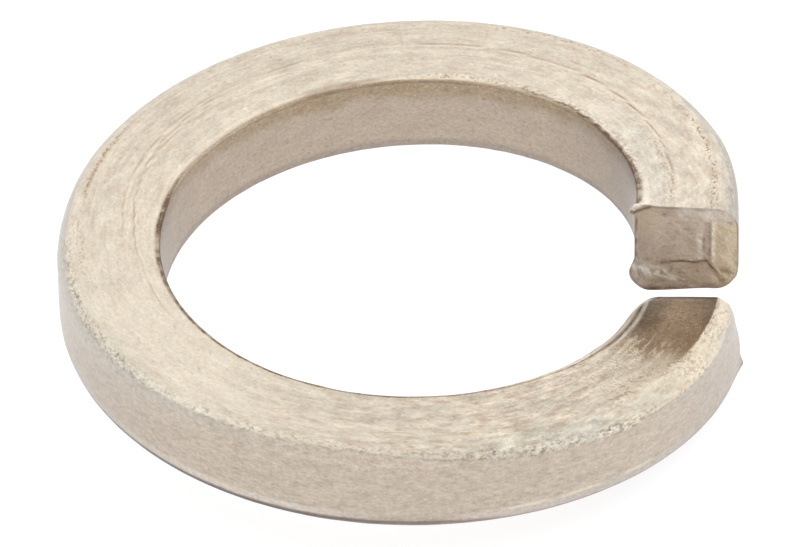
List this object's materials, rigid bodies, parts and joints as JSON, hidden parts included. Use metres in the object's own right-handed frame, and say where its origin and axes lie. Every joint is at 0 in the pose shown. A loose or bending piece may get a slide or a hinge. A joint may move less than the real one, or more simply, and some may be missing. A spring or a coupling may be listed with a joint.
{
  "type": "spring lock washer",
  "caption": "Split spring lock washer, left-hand coil of rolled wire with rounded rim and sheared, offset ends.",
  "frame": {"origin": "on the bore axis, midway between the low end's underside and the high end's top, which is also the mid-height of the flat body", "axes": "+Z along the bore axis, towards the high end; +X through the split; the low end comes to the split from -Y and the high end from +Y"},
  "size_m": [0.0296, 0.0296, 0.0094],
  "materials": {
    "plated_spring_steel": "thin pale zinc plating over rolled spring steel, faint yellow tint, semi-matt"
  },
  "bodies": {
    "root": {"lock_washer": "plated_spring_steel"}
  },
  "joints": []
}
